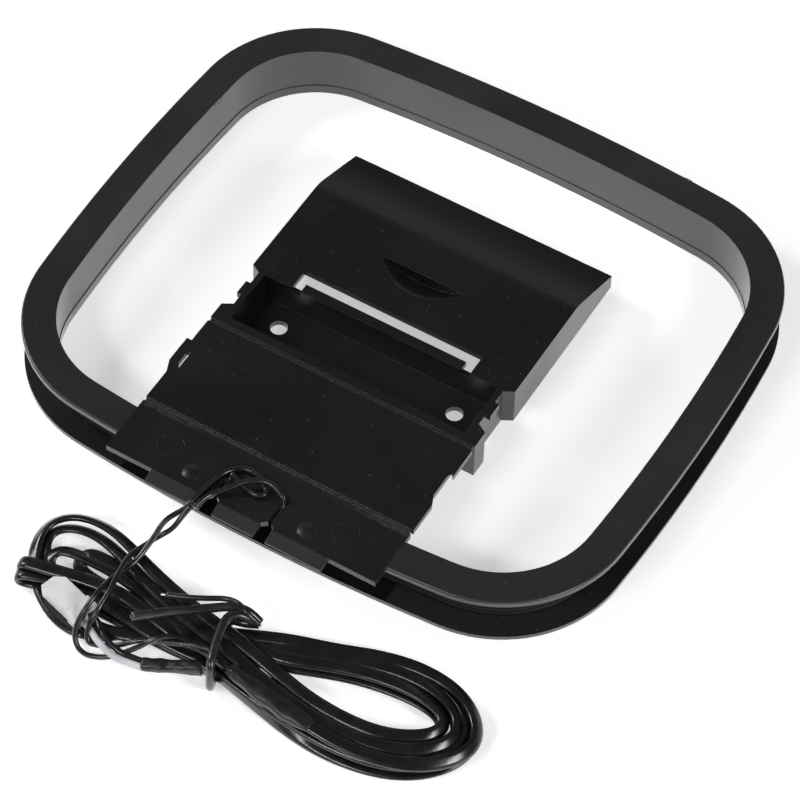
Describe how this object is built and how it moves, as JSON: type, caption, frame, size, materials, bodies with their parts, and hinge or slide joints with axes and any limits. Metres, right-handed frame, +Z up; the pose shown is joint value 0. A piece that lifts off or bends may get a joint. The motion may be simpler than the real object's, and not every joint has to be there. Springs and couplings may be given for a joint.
{
  "type": "am loop antenna",
  "caption": "Flat wound-loop radio antenna with a fold-out stand hinged inside its rounded frame and a bundled twin lead with a small white plug.",
  "frame": {"origin": "centre of the box of the loop and stand, on the face the loop lies on", "axes": "+X along the stand's fold lines, +Y from the tab plate to the far side of the loop, +Z up out of the loop's plane"},
  "size_m": [0.122, 0.1415, 0.0137],
  "materials": {
    "frame_plastic": "satin moulded",
    "stand_plastic": "satin moulded",
    "hinge_plastic": "thin flexed plastic",
    "wire_insulation": "soft gloss insulation",
    "white_insulation": "soft gloss insulation",
    "cable_jacket": "satin flexible jacket",
    "shrink_sleeve": "matt shrunk sleeve",
    "tie_plastic": "plastic-coated wire",
    "white_nylon": "natural nylon",
    "contact_metal": "tinned",
    "solder": "soldered joint"
  },
  "bodies": {
    "loop": {"loop_frame": "frame_plastic", "loop_winding": "wire_insulation", "front_hinge_web": "hinge_plastic", "wire_end_left": "wire_insulation", "wire_end_right": "wire_insulation", "lead_pair": "wire_insulation", "lead_splice_sleeve": "shrink_sleeve", "lead_splice_joint_first": "solder", "lead_splice_joint_second": "solder", "cable_hank": "cable_jacket", "twist_tie": "tie_plastic", "cable_run": "cable_jacket", "plug_splice_sleeve": "shrink_sleeve", "plug_splice_joint_first": "solder", "plug_splice_joint_second": "solder", "plug_wire_white": "white_insulation", "plug_wire_black": "wire_insulation", "plug_housing": "white_nylon", "plug_contact_first": "contact_metal", "plug_contact_second": "contact_metal"},
    "brace": {"brace_panel": "stand_plastic", "rear_hinge_web": "hinge_plastic"},
    "base": {"stand_base": "stand_plastic"}
  },
  "joints": [
    {"name": "brace_fold", "type": "hinge", "parent": "loop", "child": "brace", "pos_m": [0, -0.0408, 0.0116], "axis": [1, 0, 0], "range_deg": [0, 126.2], "deforming": ["front_hinge_web"]},
    {"name": "base_fold", "type": "hinge", "parent": "brace", "child": "base", "pos_m": [0, -0.0199, 0.0116], "axis": [1, 0, 0], "range_deg": [0, 143.8], "deforming": ["rear_hinge_web"]}
  ]
}
